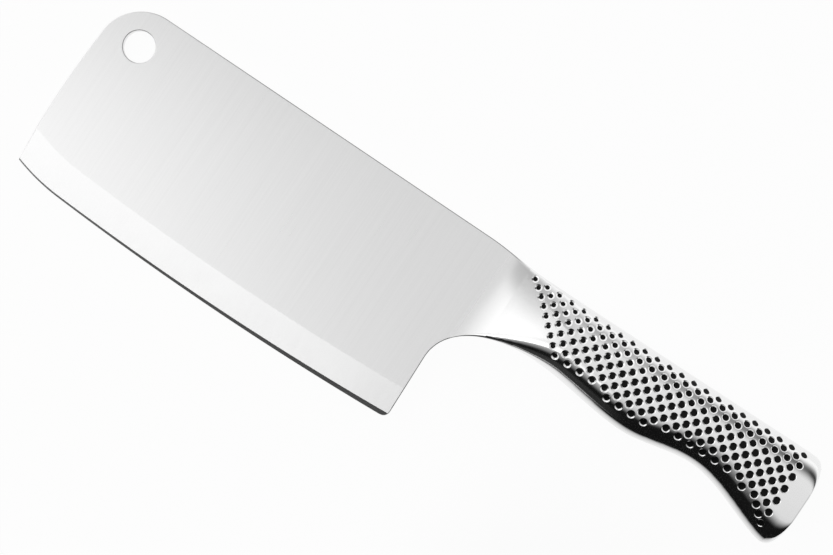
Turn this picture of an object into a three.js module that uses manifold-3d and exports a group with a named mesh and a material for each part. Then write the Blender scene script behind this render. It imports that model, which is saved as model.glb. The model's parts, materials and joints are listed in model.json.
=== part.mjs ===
// An all-steel kitchen cleaver: a ground blade welded to a hollow, dimpled handle that is ballasted with sand.
// Millimetres. The pieces are drawn in the cleaver's own frame and then laid on the table as one group:
// x runs from the blade's front to the butt, y is 0 at the spine and falls towards the edge, z crosses the blade.
import * as THREE from "three";
import { mergeGeometries, mergeVertices } from "three/addons/utils/BufferGeometryUtils.js";
import Module from "manifold-3d";

const wasm = await Module();
wasm.setup();

// Blade plate
const bladeLength = 160;
const bladeHeight = 75.8;
const bladeThickness = 3.5;
const plateEasing = 0.4;
const frontRadius = 340;
const frontBulgeDepth = 40;
const frontCornerRadius = 16.8;
const frontFacetLength = 11.5;
const edgeRadius = 1180;
const edgeLowestX = 89;
const tipRadius = 75;
const tipLength = 20;
const heelCornerRadius = 3;
const heelUndercut = 0.7;
const hangHoleDiameter = 11.5;
const hangHoleX = 14.7;
const hangHoleDepth = 13.5;

// Ground bevel and honed edge
const bevelWidth = 12.2;
const honeWidthAtHeel = 1.1;
const honeWidthAtFront = 0.4;
const honeAngle = THREE.MathUtils.degToRad(20);
const edgeFlat = 0.1;

// Side view of the neck and handle, chained from the heel to the butt
const choilLength = 33;
const choilDepth = 48;
const choilRoundness = 2.15;
const spineDipLead = 5;
const spineDipLength = 25;
const spineDip = 1.45;
const gripRise = 1.5;
const neckWaistDepth = 27.5;
const palmReach = 38.1;
const palmDepth = 31;
const fingerReach = 28.1;
const fingerDepth = 26.7;
const buttReach = 35.4;
const buttDepth = 36.2;
const buttSlope = -0.2;
const buttOverrun = 4.1;
const buttLength = 10.5;
const buttSquareness = 6;

// Plan view and cross-section of the neck and handle
const neckSetback = 3;
const neckLength = 11;
const flareLength = 39;
const shoulderThickness = 17.4;
const palmThickness = 18.6;
const buttThickness = 18.4;
const buttEdge = 2;
const leastCorner = 0.2;
const spineRounding = 12;
const bellyRounding = 11;
const seamLand = 0.6;
const neckStep = 0.05;

// Handle halves, tang and ballast
const shellWall = 1.2;
const tangLength = 12;
const tangShoulder = 0.7;
const tangClearance = 0.3;
const sandClearance = 0.3;

// Weld runs, dressed flush
const weldWidth = 2;
const weldGap = 0.3;
const rootLand = 0.3;
const rootGap = 0.3;

// Dimples pressed into each half
const dimpleDiameter = 2.5;
const dimpleDepth = 0.6;
const dimpleSides = 6;
const dimplePitch = 5.12;
const dimpleRowPitch = 2.48;
const dimpleRows = 13;
const dimpleFullRows = 9;
const dimpleNeckMargin = 2.6;
const dimpleEndMargin = 9.1;
const dimpleSpineMargin = 2.12;
const dimpleBellyMargin = 5.85;
const dimpleButtMargin = 4.4;
const dimpleMarginEase = 14.3;

// Facets in a quarter of the outer and inner cross-sections
const outerFacets = 5;
const innerFacets = 4;

// Places along the cleaver that follow from the sizes
const plateHalf = bladeThickness / 2;
const heelX = bladeLength - heelUndercut;
const spineDipStart = bladeLength - spineDipLead;
const spineDipEnd = spineDipStart + spineDipLength;
const neckWaist = { x: heelX + choilLength, depth: neckWaistDepth, slope: 0 };
const palmSwell = { x: neckWaist.x + palmReach, depth: palmDepth, slope: 0 };
const fingerWaist = { x: palmSwell.x + fingerReach, depth: fingerDepth, slope: 0 };
const buttFlare = { x: fingerWaist.x + buttReach, depth: buttDepth, slope: buttSlope };
const overallLength = buttFlare.x + buttOverrun;
const capStart = overallLength - buttLength;
const neckStart = bladeLength + neckSetback;
const neckJoint = neckStart + neckLength;
const flareEnd = neckStart + flareLength;
const tangEnd = neckJoint + tangLength;
const grooveDepth = shellWall - rootLand;
const weldDepth = grooveDepth - weldGap;
const grooveReach = weldWidth / 2 + weldGap;
const dimpleFirstX = neckJoint + dimpleNeckMargin;
const dimpleLastX = overallLength - dimpleEndMargin;

const clamp = THREE.MathUtils.clamp;
const lerp = THREE.MathUtils.lerp;
const smoothstep = THREE.MathUtils.smoothstep;

// Side-view outline of the neck and handle, as depths that depend on x alone.
function spineLine(x) {
  const dip = -spineDip * smoothstep(x, spineDipStart, spineDipEnd);
  const rise = (gripRise * Math.max(x - spineDipEnd, 0)) / (buttFlare.x - spineDipEnd);
  return dip + rise;
}

function swing(x, from, to) {
  const length = to.x - from.x;
  const t = clamp((x - from.x) / length, 0, 1);
  const ease = t * t * (3 - 2 * t);
  return -lerp(from.depth, to.depth, ease) + to.slope * length * t * t * (t - 1);
}

function bellyLine(x) {
  if (x < neckWaist.x) {
    const across = clamp((neckWaist.x - x) / (neckWaist.x - heelX), 0, 1);
    const up = (1 - across ** choilRoundness) ** (1 / choilRoundness);
    return -lerp(choilDepth, neckWaist.depth, up);
  }
  if (x < palmSwell.x) {
    return swing(x, neckWaist, palmSwell);
  }
  if (x < fingerWaist.x) {
    return swing(x, palmSwell, fingerWaist);
  }
  return swing(x, fingerWaist, buttFlare);
}

function halfThickness(x) {
  const flared = lerp(plateHalf, shoulderThickness / 2, smoothstep(x, neckStart, flareEnd));
  const swell = ((palmThickness - shoulderThickness) / 2) * smoothstep(x, flareEnd, palmSwell.x);
  const taper = ((palmThickness - buttThickness) / 2) * smoothstep(x, palmSwell.x, capStart);
  return flared + swell - taper;
}

// One cross-section: a rectangle with elliptical corners, drawn in by `inset` and closing over the butt.
function section(x, inset) {
  const reach = clamp((x - capStart) / (buttLength - inset), 0, 1);
  const tallness = (1 - reach ** buttSquareness) ** (1 / buttSquareness);
  const edge = Math.max(buttEdge - inset, leastCorner);
  const edgeReach = clamp((x - overallLength + inset) / edge + 1, 0, 1);
  const middle = (spineLine(x) + bellyLine(x)) / 2;
  const rounding = smoothstep(x, neckStart, flareEnd);
  const flat = halfThickness(x) - inset;
  const half = flat - edge * (1 - Math.sqrt(1 - edgeReach ** 2));
  const cornerAcross = lerp(plateEasing, halfThickness(x) - seamLand / 2, rounding) - inset;
  return {
    x,
    half,
    top: middle + (spineLine(x) - inset - middle) * tallness,
    bottom: middle + (bellyLine(x) + inset - middle) * tallness,
    cornerAcross: (Math.max(cornerAcross, leastCorner) * half) / flat,
    topCorner: Math.max(lerp(plateEasing, spineRounding, rounding) - inset, leastCorner) * tallness,
    bottomCorner: Math.max(lerp(plateEasing, bellyRounding, rounding) - inset, leastCorner) * tallness,
  };
}

function ring(x, inset, cornerSteps) {
  const s = section(x, inset);
  const points = [];
  for (let quarter = 0; quarter < 4; quarter += 1) {
    const upper = quarter === 0 || quarter === 3;
    const left = quarter < 2;
    const corner = upper ? s.topCorner : s.bottomCorner;
    const centreY = upper ? s.top - corner : s.bottom + corner;
    const centreZ = (s.half - s.cornerAcross) * (left ? 1 : -1);
    for (let step = 0; step <= cornerSteps; step += 1) {
      const angle = ((quarter + step / cornerSteps) * Math.PI) / 2;
      const y = centreY + corner * Math.cos(angle);
      const z = centreZ + s.cornerAcross * Math.sin(angle);
      points.push(new THREE.Vector3(x, y, z));
    }
  }
  return points;
}

// Height of the handle's left face over the side view.
function leftFace(x, y) {
  const s = section(x, 0);
  const over = Math.max((y - s.top) / s.topCorner + 1, 0);
  const under = Math.max((s.bottom - y) / s.bottomCorner + 1, 0);
  const fall = Math.min(Math.max(over, under), 1);
  return s.half - s.cornerAcross * (1 - Math.sqrt(1 - fall * fall));
}

// Geometry helpers.
function spaced(from, to, step) {
  const count = Math.max(Math.round((to - from) / step), 1);
  return Array.from({ length: count + 1 }, (_, i) => lerp(from, to, i / count));
}

function capStations(inset, count) {
  const length = buttLength - inset;
  return Array.from({ length: count - 1 }, (_, i) => capStart + length * (1 - (1 - (i + 1) / count) ** 3));
}

function loft(rings) {
  const size = rings[0].length;
  const points = rings.flat();
  const triangles = [];
  for (let i = 0; i + 1 < rings.length; i += 1) {
    for (let j = 0; j < size; j += 1) {
      const a = i * size + j;
      const b = i * size + ((j + 1) % size);
      triangles.push(a, b, b + size, a, b + size, a + size);
    }
  }
  const last = (rings.length - 1) * size;
  const startCentre = points.length;
  const endCentre = startCentre + 1;
  for (const end of [rings[0], rings[rings.length - 1]]) {
    const centre = new THREE.Vector3();
    end.forEach((point) => centre.add(point));
    points.push(centre.divideScalar(size));
  }
  for (let j = 0; j < size; j += 1) {
    const next = (j + 1) % size;
    triangles.push(startCentre, next, j, endCentre, last + j, last + next);
  }
  const geometry = new THREE.BufferGeometry().setFromPoints(points);
  geometry.setIndex(triangles);
  return geometry;
}

function solid(geometry) {
  const bare = geometry.clone();
  bare.deleteAttribute("normal");
  bare.deleteAttribute("uv");
  const welded = mergeVertices(bare, 1e-4);
  const vertProperties = new Float32Array(welded.attributes.position.array);
  const triVerts = new Uint32Array(welded.index.array);
  return new wasm.Manifold(new wasm.Mesh({ numProp: 3, vertProperties, triVerts }));
}

function skin(manifold) {
  const mesh = manifold.getMesh();
  const geometry = new THREE.BufferGeometry();
  geometry.setAttribute("position", new THREE.BufferAttribute(Float32Array.from(mesh.vertProperties), 3));
  geometry.setIndex(new THREE.BufferAttribute(Uint32Array.from(mesh.triVerts), 1));
  const flat = geometry.toNonIndexed();
  flat.computeVertexNormals();
  return flat;
}

function slab(minX, maxX, minZ, maxZ) {
  const height = 3 * bladeHeight;
  const box = new THREE.BoxGeometry(maxX - minX, height, maxZ - minZ);
  return solid(box.translate((minX + maxX) / 2, 0, (minZ + maxZ) / 2));
}

// Blade
const edgeCentre = new THREE.Vector2(edgeLowestX, edgeRadius - bladeHeight);

function edgePoint(x) {
  return new THREE.Vector2(x, edgeCentre.y - Math.sqrt(edgeRadius ** 2 - (x - edgeCentre.x) ** 2));
}

const tipStart = edgePoint(tipLength);
const tipCentre = tipStart.clone().lerp(edgeCentre, tipRadius / edgeRadius);
const frontCentre = new THREE.Vector2(frontRadius, -frontBulgeDepth);
const frontX = (y) => frontCentre.x - Math.sqrt(frontRadius ** 2 - (y - frontCentre.y) ** 2);
const tipY = (x) => tipCentre.y - Math.sqrt(tipRadius ** 2 - (x - tipCentre.x) ** 2);
const angleFrom = (centre, point) => Math.atan2(point.y - centre.y, point.x - centre.x);

function tipPoint() {
  let y = tipStart.y;
  for (let step = 0; step < 8; step += 1) {
    y = tipY(frontX(y));
  }
  return new THREE.Vector2(frontX(y), y);
}

const tip = tipPoint();

function plateShape() {
  const cornerX = frontX(-frontCornerRadius) + frontCornerRadius;
  const plateEnd = neckStart + 2;
  const heelEdge = edgePoint(bladeLength - heelCornerRadius);
  const shape = new THREE.Shape();
  shape.moveTo(cornerX, 0);
  for (const x of spaced(spineDipStart, plateEnd, 2)) {
    shape.lineTo(x, spineLine(x));
  }
  const choilSteps = 8;
  for (let i = 0; i <= choilSteps; i += 1) {
    const x = heelX + (plateEnd - heelX) * (1 - i / choilSteps) ** 2;
    shape.lineTo(x, bellyLine(x));
  }
  shape.lineTo(bladeLength, heelEdge.y + heelCornerRadius);
  shape.quadraticCurveTo(bladeLength, edgePoint(bladeLength).y, heelEdge.x, heelEdge.y);
  const heelAngle = angleFrom(edgeCentre, heelEdge);
  const tipStartAngle = angleFrom(edgeCentre, tipStart);
  shape.absarc(edgeCentre.x, edgeCentre.y, edgeRadius, heelAngle, tipStartAngle, true);
  shape.absarc(tipCentre.x, tipCentre.y, tipRadius, tipStartAngle, angleFrom(tipCentre, tip), true);
  for (const y of spaced(tip.y, -frontCornerRadius, frontFacetLength).slice(1)) {
    shape.lineTo(frontX(y), y);
  }
  shape.absarc(cornerX, -frontCornerRadius, frontCornerRadius, Math.PI, Math.PI / 2, true);
  const hole = new THREE.Path();
  hole.absarc(hangHoleX, -hangHoleDepth, hangHoleDiameter / 2, 0, 2 * Math.PI, false);
  shape.holes.push(hole);
  return shape;
}

function plate() {
  const geometry = new THREE.ExtrudeGeometry(plateShape(), {
    depth: bladeThickness - 2 * plateEasing,
    curveSegments: 12,
    bevelSize: plateEasing,
    bevelOffset: -plateEasing,
    bevelThickness: plateEasing,
    bevelSegments: 1,
  });
  return geometry.translate(0, 0, plateEasing - plateHalf);
}

// Waste ground away from one cheek along the edge: everything outside the bevel and the honed facet.
function grindWaste(side) {
  const run = 4;
  const tipXs = spaced(tip.x, tipLength, 3.5);
  const stations = [
    ...tipXs.slice(0, -1).map((x) => ({ point: new THREE.Vector2(x, tipY(x)), centre: tipCentre })),
    ...spaced(tipLength, bladeLength, 12).map((x) => ({ point: edgePoint(x), centre: edgeCentre })),
  ];
  const rings = stations.map(({ point, centre }, i) => {
    const inward = centre.clone().sub(point).normalize();
    const along = new THREE.Vector2(inward.y, -inward.x);
    const beyond = i === 0 ? -run : i === stations.length - 1 ? run : 0;
    const foot = point.clone().addScaledVector(along, beyond);
    const hone = lerp(honeWidthAtFront, honeWidthAtHeel, clamp(point.x / bladeLength, 0, 1));
    const profile = [
      [bevelWidth, plateHalf],
      [hone, edgeFlat / 2 + hone * Math.tan(honeAngle)],
      [0, edgeFlat / 2],
      [-run, edgeFlat / 2],
      [-run, plateHalf + run],
      [bevelWidth, plateHalf + run],
    ];
    const corners = profile.map(([up, z]) => {
      const at = foot.clone().addScaledVector(inward, up);
      return new THREE.Vector3(at.x, at.y, side * z);
    });
    return side > 0 ? corners.reverse() : corners;
  });
  return loft(rings);
}

function neck() {
  const full = spaced(neckStart, neckJoint - grooveReach, 1.9).map((x) => ring(x, -neckStep, outerFacets));
  return loft([...full, ring(neckJoint - rootGap / 2, grooveDepth, outerFacets)]);
}

function tang() {
  const root = neckJoint - 4;
  const margin = shellWall + tangClearance + tangShoulder;
  const half = section(neckJoint + rootGap / 2, shellWall).half - tangClearance;
  const shape = new THREE.Shape();
  shape.moveTo(root, spineLine(tangEnd) - margin);
  shape.lineTo(tangEnd, spineLine(tangEnd) - margin);
  shape.lineTo(tangEnd, bellyLine(tangEnd) + margin);
  shape.lineTo(root, bellyLine(tangEnd) + margin);
  const geometry = new THREE.ExtrudeGeometry(shape, { depth: 2 * half, bevelEnabled: false });
  return geometry.translate(0, 0, -half);
}

function blade() {
  const blank = solid(plate()).add(solid(neck())).add(solid(tang()));
  return skin(blank.subtract(solid(grindWaste(1))).subtract(solid(grindWaste(-1))));
}

// Handle
const outerStations = [
  ...spaced(neckJoint + grooveReach, flareEnd, 3),
  ...spaced(flareEnd, capStart, 7.2).slice(1),
  ...capStations(0, 8),
];

function handleForm() {
  const mouth = ring(neckJoint + rootGap / 2, grooveDepth, outerFacets);
  return loft([mouth, ...outerStations.map((x) => ring(x, 0, outerFacets))]);
}

function cavityForm() {
  const stations = [...spaced(neckJoint - 1, flareEnd, 5), ...spaced(flareEnd, capStart, 8).slice(1)];
  return loft([...stations, ...capStations(shellWall, 6)].map((x) => ring(x, shellWall, innerFacets)));
}

function sandForm() {
  const inset = shellWall + sandClearance;
  const stations = [...spaced(tangEnd + sandClearance, flareEnd, 5), ...spaced(flareEnd, capStart, 8).slice(1)];
  return loft([...stations, ...capStations(inset, 6)].map((x) => ring(x, inset, innerFacets)));
}

// The side-view outline at z = 0, from the neck along the spine, over the butt and back along the belly.
function seamPath(from) {
  const xs = [from, ...outerStations.filter((x) => x > from + 0.5)];
  const upper = xs.map((x) => new THREE.Vector2(x, section(x, 0).top));
  const lower = xs.map((x) => new THREE.Vector2(x, section(x, 0).bottom)).reverse();
  const end = new THREE.Vector2(overallLength, (upper.at(-1).y + lower[0].y) / 2);
  return [...upper, end, ...lower];
}

// A V-shaped bar along part of the seam: `mouth` wide at the surface, `depth` deep and `root` wide at the bottom.
function seamBar(path, mouth, depth, root) {
  const outset = 0.5;
  const flank = (mouth - root) / 2 / depth;
  const rings = path.map((point, i) => {
    const before = path[Math.max(i - 1, 0)];
    const after = path[Math.min(i + 1, path.length - 1)];
    const along = after.clone().sub(before).normalize();
    const inward = new THREE.Vector2(along.y, -along.x);
    const outer = point.clone().addScaledVector(inward, -outset);
    const inner = point.clone().addScaledVector(inward, depth);
    const outerHalf = mouth / 2 + flank * outset;
    return [
      new THREE.Vector3(outer.x, outer.y, -outerHalf),
      new THREE.Vector3(outer.x, outer.y, outerHalf),
      new THREE.Vector3(inner.x, inner.y, root / 2),
      new THREE.Vector3(inner.x, inner.y, -root / 2),
    ];
  });
  return solid(loft(rings));
}

function dimpleCentres() {
  const reference = section(capStart, 0);
  const rows = [];
  const stepDown = 0.01;
  let depth = dimpleSpineMargin;
  let walked = 0;
  while (rows.length < dimpleRows) {
    if (walked >= rows.length * dimpleRowPitch) {
      rows.push(depth);
    }
    const y = reference.top - depth;
    const fall = leftFace(reference.x, y) - leftFace(reference.x, y - stepDown);
    walked += Math.hypot(stepDown, fall);
    depth += stepDown;
  }
  const centres = [];
  rows.forEach((rowDepth, row) => {
    const stagger = (row % 2) * (dimplePitch / 2);
    const firstX = dimpleFirstX + (row * dimplePitch) / 2;
    for (let x = dimpleLastX - stagger; x > firstX - dimplePitch / 4; x -= dimplePitch) {
      const y = spineLine(x) - rowDepth;
      const nearButt = smoothstep(x, dimpleLastX - dimpleMarginEase, dimpleLastX);
      const margin = lerp(dimpleBellyMargin, dimpleButtMargin, nearButt);
      if (row < dimpleFullRows || y - bellyLine(x) > margin) {
        centres.push(new THREE.Vector2(x, y));
      }
    }
  });
  return centres;
}

function dimplePits() {
  const lift = 0.3;
  const height = dimpleDepth + lift;
  const radius = ((dimpleDiameter / 2) * height) / dimpleDepth;
  const nudge = 0.2;
  const pits = dimpleCentres().map(({ x, y }) => {
    const slopeX = (leftFace(x + nudge, y) - leftFace(x - nudge, y)) / (2 * nudge);
    const slopeY = (leftFace(x, y + nudge) - leftFace(x, y - nudge)) / (2 * nudge);
    const normal = new THREE.Vector3(-slopeX, -slopeY, 1).normalize();
    const turn = new THREE.Quaternion().setFromUnitVectors(new THREE.Vector3(0, -1, 0), normal);
    const centre = new THREE.Vector3(x, y, leftFace(x, y)).addScaledVector(normal, lift - height / 2);
    const pit = new THREE.ConeGeometry(radius, height, dimpleSides);
    return pit.applyQuaternion(turn).translate(centre.x, centre.y, centre.z);
  });
  return solid(mergeGeometries(pits));
}

const form = solid(handleForm());
const seam = seamPath(neckJoint + grooveReach);
const grooveFrom = neckJoint - 1;
const groove = seamBar(
  [
    new THREE.Vector2(grooveFrom, spineLine(grooveFrom)),
    ...seam,
    new THREE.Vector2(grooveFrom, bellyLine(grooveFrom)),
  ],
  2 * grooveReach,
  grooveDepth,
  rootGap,
);

function handleHalf() {
  const leftSide = slab(neckJoint - 5, overallLength + 5, rootGap / 2, palmThickness);
  const shell = form.subtract(solid(cavityForm())).intersect(leftSide);
  return skin(shell.subtract(groove).subtract(dimplePits()));
}

function seamWeld(path) {
  return skin(seamBar(path, weldWidth, weldDepth, rootGap).intersect(form));
}

function neckWeld() {
  const left = ring(neckJoint - weldWidth / 2, 0, outerFacets);
  const right = ring(neckJoint + weldWidth / 2, 0, outerFacets);
  const root = ring(neckJoint, weldDepth, outerFacets);
  const size = left.length;
  const points = [...left, ...right, ...root];
  const triangles = [];
  for (let j = 0; j < size; j += 1) {
    const next = (j + 1) % size;
    for (const [a, b] of [[0, 1], [1, 2], [2, 0]]) {
      const first = a * size;
      const second = b * size;
      triangles.push(first + j, first + next, second + next, first + j, second + next, second + j);
    }
  }
  const geometry = new THREE.BufferGeometry().setFromPoints(points);
  geometry.setIndex(triangles);
  return skin(solid(geometry));
}

const buttRun = capStart + 2;
const spineRun = seam.slice(0, seam.length / 2).filter((point) => point.x < buttRun - weldGap);
const bellyRun = seam.slice(seam.length / 2).filter((point) => point.x < buttRun - weldGap);
const overButt = seam.filter((point) => point.x >= buttRun);

// Assembly
const satinSteel = { color: 0xcdd0d2, roughness: 0.38, metalness: 1 };
const polishedSteel = { color: 0xd6d8da, roughness: 0.18, metalness: 1 };
const dressedWeld = { color: 0xcfd1d3, roughness: 0.2, metalness: 1 };
const drySand = { color: 0xb9a078, roughness: 0.95, metalness: 0 };

const cleaver = new THREE.Group();
cleaver.name = "cleaver";

function place(name, geometry, look) {
  const mesh = new THREE.Mesh(geometry, new THREE.MeshStandardMaterial(look));
  mesh.name = name;
  cleaver.add(mesh);
  return mesh;
}

const halfGeometry = handleHalf();
place("blade", blade(), satinSteel);
place("handle_half_left", halfGeometry, polishedSteel);
place("handle_half_right", halfGeometry.clone(), polishedSteel).scale.z = -1;
place("sand_ballast", skin(solid(sandForm())), drySand);
place("neck_weld", neckWeld(), dressedWeld);
place("spine_seam_weld", seamWeld(spineRun), dressedWeld);
place("butt_seam_weld", seamWeld(overButt), dressedWeld);
place("belly_seam_weld", seamWeld(bellyRun), dressedWeld);

// The handle is thicker than the blade, so on a table the cleaver leans until its front edge touches down.
const leans = spaced(neckJoint, capStart, 1).map((x) => Math.atan2(halfThickness(x) - plateHalf, x));
cleaver.rotation.y = -Math.max(...leans);
const bounds = new THREE.Box3().setFromObject(cleaver, true);
cleaver.position.set(
  -(bounds.min.x + bounds.max.x) / 2,
  -(bounds.min.y + bounds.max.y) / 2,
  -bounds.min.z,
);

const table = new THREE.Group();
table.add(cleaver);

export default table;
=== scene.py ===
import json
import math
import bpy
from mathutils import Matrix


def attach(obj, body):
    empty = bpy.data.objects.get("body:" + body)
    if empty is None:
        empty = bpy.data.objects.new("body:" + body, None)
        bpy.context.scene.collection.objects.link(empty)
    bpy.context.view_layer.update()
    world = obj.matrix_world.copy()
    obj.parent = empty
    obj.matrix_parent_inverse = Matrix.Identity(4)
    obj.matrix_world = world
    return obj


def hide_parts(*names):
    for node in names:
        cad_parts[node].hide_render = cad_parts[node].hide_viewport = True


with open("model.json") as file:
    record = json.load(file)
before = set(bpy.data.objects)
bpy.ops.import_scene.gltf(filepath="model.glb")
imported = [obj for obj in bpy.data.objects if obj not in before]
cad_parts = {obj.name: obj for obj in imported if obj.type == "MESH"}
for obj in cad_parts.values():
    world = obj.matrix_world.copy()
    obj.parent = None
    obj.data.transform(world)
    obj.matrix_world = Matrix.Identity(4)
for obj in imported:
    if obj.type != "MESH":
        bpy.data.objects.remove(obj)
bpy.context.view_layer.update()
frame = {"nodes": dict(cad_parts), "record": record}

from types import SimpleNamespace

import bpy
import numpy as np
from mathutils import Matrix, Vector
from mathutils.geometry import delaunay_2d_cdt

print("frame loaded:", len(frame["nodes"]), "CAD nodes")

# The cleaver is drawn in its own axes, in millimetres: x from the blade's front to the butt,
# y is 0 along the spine and falls towards the edge, z crosses the blade.
millimetre = 0.001
ontoMiddle = np.array((1, 1, 0))  # drops a point to the plane between the two sides
cheekMark = Vector((70, -32, 1.75))  # where the record's left_cheek mount lies in those axes


def layOnTable():
    cheek = next(mount for mount in frame["record"]["mounts"] if mount["name"] == "left_cheek")
    across = Vector(cheek["axis"]).normalized()
    upward = Vector((0, 1, 0))
    turn = Matrix((upward.cross(across), upward, across)).transposed()
    origin = Vector(cheek["pos_m"]) - turn @ cheekMark * millimetre
    return Matrix.Translation(origin) @ turn.to_4x4()


tableFrame = layOnTable()


# Shader maths: a wrapped socket takes Python operators, and each one adds a Math node
class Wire:
    def __init__(self, socket):
        self.socket = socket

    def maths(self, operation, first, second):
        shader = Shader(self.socket.id_data)
        return shader.node("ShaderNodeMath", {"operation": operation}, {0: first, 1: second})

    def __add__(self, other):
        return self.maths("ADD", self, other)

    def __sub__(self, other):
        return self.maths("SUBTRACT", self, other)

    def __rsub__(self, other):
        return self.maths("SUBTRACT", other, self)

    def __mul__(self, other):
        return self.maths("MULTIPLY", self, other)

    def __truediv__(self, other):
        return self.maths("DIVIDE", self, other)

    def __rtruediv__(self, other):
        return self.maths("DIVIDE", other, self)

    __radd__ = __add__
    __rmul__ = __mul__

    def atLeast(self, low):
        return self.maths("MAXIMUM", self, low)

    def atMost(self, high):
        return self.maths("MINIMUM", self, high)

    def degreesOver(self, height):
        return self.maths("ARCTAN2", self, height) * (180 / math.pi)


class Shader:
    def __init__(self, tree):
        self.tree = tree

    # the one place where nodes are made: type, settings, then socket values or links
    def node(self, kind, settings, sockets, output=0):
        made = self.tree.nodes.new(kind)
        for key, value in settings.items():
            setattr(made, key, value)
        for key, value in sockets.items():
            if isinstance(value, Wire):
                self.tree.links.new(value.socket, made.inputs[key])
            else:
                made.inputs[key].default_value = value
        return Wire(made.outputs[output]) if made.outputs else None

    def ease(self, value, low, high):
        sockets = {"Value": value, "From Min": low, "From Max": high}
        return self.node("ShaderNodeMapRange", {"interpolation_type": "SMOOTHSTEP"}, sockets)

    # between two colours: each is a link, three shares or one grey
    def tint(self, share, *ends):
        ends = [(end, end, end) if isinstance(end, (int, float)) else end for end in ends]
        first, second = (end if isinstance(end, Wire) else (*end, 1) for end in ends)
        return self.node("ShaderNodeMix", {"data_type": "RGBA"}, {0: share, 6: first, 7: second}, 2)

    def noise(self, vector, scale, detail=2.0, rough=0.5):
        spread = self.node("ShaderNodeVectorMath", {"operation": "MULTIPLY"}, {0: vector, 1: scale})
        sockets = {"Vector": spread, "Scale": 1.0, "Detail": detail, "Roughness": rough}
        return self.node("ShaderNodeTexNoise", {}, sockets)

    def axis(self, vector, name):
        return self.node("ShaderNodeSeparateXYZ", {}, {0: vector}, name)

    def bump(self, height, strength, distance):
        return self.node("ShaderNodeBump", {}, {"Height": height, "Strength": strength, "Distance": distance})

    def surface(self, sockets):
        principled = self.node("ShaderNodeBsdfPrincipled", {}, sockets)
        self.node("ShaderNodeOutputMaterial", {}, {"Surface": principled})


def emptyShader(owner):
    owner.use_nodes = True
    owner.node_tree.nodes.clear()
    return Shader(owner.node_tree)


def newMaterial(name):
    material = bpy.data.materials.new(name)
    shader = emptyShader(material)
    return material, shader, shader.node("ShaderNodeTexCoord", {}, {}, "Object")


def smooth(x, low, high):
    t = np.clip((x - low) / (high - low), 0, 1)
    return t * t * (3 - 2 * t)


def lengths(vectors):
    return np.linalg.norm(vectors, axis=-1)


def unit(vectors):
    return vectors / lengths(vectors)[..., None]


def pair(x, y):
    return np.stack([x, y], -1)


def raised(flat, z):
    return np.concatenate([flat, z[..., None]], -1)


# Neck and handle: the side view, the cross-section and the height of the left face over the side view
grip = SimpleNamespace(**{
    "heelX": 159.3,
    "choilDepth": 48,
    "choilRoundness": 2.15,
    "spineDipFrom": 155,
    "spineDipTo": 180,
    "spineDip": 1.45,
    "gripRise": 1.5,
    "neckWaist": (192.3, 27.5),  # places along the belly: x and depth
    "palmSwell": (230.4, 31),
    "fingerWaist": (258.5, 26.7),
    "buttFlare": (293.9, 36.2),
    "buttSlope": -0.2,
    "overallLength": 298,
    "buttLength": 10.5,
    "buttSquareness": 6,
    "buttEdge": 0.8,
    "leastCorner": 0.2,
    "neckStart": 163,
    "neckJoint": 174,
    "flareEnd": 202,
    "plateHalf": 1.75,
    "shoulderHalf": 8.7,
    "palmHalf": 9.3,
    "buttHalf": 9.2,
    "easing": 0.4,
    "spineRounding": 12,
    "bellyRounding": 11,
    "seamLand": 0.6,
    "shellWall": 1.2,
})
capStart = grip.overallLength - grip.buttLength
almostButt, almostFlat = 0.99999, 0.9999  # short of 1, where the butt's curves turn square


def spineLine(x):
    dip = grip.spineDip * smooth(x, grip.spineDipFrom, grip.spineDipTo)
    return grip.gripRise * np.maximum(x - grip.spineDipTo, 0) / (grip.buttFlare[0] - grip.spineDipTo) - dip


def swing(x, start, end, slope=0):
    length = end[0] - start[0]
    t = np.clip((x - start[0]) / length, 0, 1)
    return slope * length * t * t * (t - 1) - start[1] - (end[1] - start[1]) * smooth(t, 0, 1)


def bellyLine(x):
    across = np.clip((grip.neckWaist[0] - x) / (grip.neckWaist[0] - grip.heelX), 0, 1)
    rise = (1 - across**grip.choilRoundness) ** (1 / grip.choilRoundness)
    choil = (grip.choilDepth - grip.neckWaist[1]) * rise - grip.choilDepth
    palm = swing(x, grip.neckWaist, grip.palmSwell)
    finger = swing(x, grip.palmSwell, grip.fingerWaist)
    butt = swing(x, grip.fingerWaist, grip.buttFlare, grip.buttSlope)
    reached = [x < grip.neckWaist[0], x < grip.palmSwell[0], x < grip.fingerWaist[0]]
    return np.select(reached, [choil, palm, finger], butt)


def section(x, inset=0):
    x = np.asarray(x, float)
    reach = np.clip((x - capStart) / (grip.buttLength - inset), 0, almostButt)
    tall = (1 - reach**grip.buttSquareness) ** (1 / grip.buttSquareness)
    edge = np.maximum(grip.buttEdge - inset, grip.leastCorner)
    turned = np.clip((x - grip.overallLength + inset) / edge + 1, 0, almostFlat)
    spine, belly = spineLine(x), bellyLine(x)
    middle = (spine + belly) / 2
    rounding = smooth(x, grip.neckStart, grip.flareEnd)
    full = grip.plateHalf + (grip.shoulderHalf - grip.plateHalf) * rounding
    full = full + (grip.palmHalf - grip.shoulderHalf) * smooth(x, grip.flareEnd, grip.palmSwell[0])
    full = full - (grip.palmHalf - grip.buttHalf) * smooth(x, grip.palmSwell[0], capStart)
    flat = full - inset
    half = flat - edge * (1 - np.sqrt(1 - turned**2))

    def corner(size):
        return np.maximum(grip.easing + (size - grip.easing) * rounding - inset, grip.leastCorner)

    return SimpleNamespace(
        half=half,
        top=middle + (spine - inset - middle) * tall,
        bottom=middle + (belly + inset - middle) * tall,
        across=corner(full - grip.seamLand / 2) * half / flat,
        topCorner=corner(grip.spineRounding) * tall,
        bottomCorner=corner(grip.bellyRounding) * tall,
    )


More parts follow.
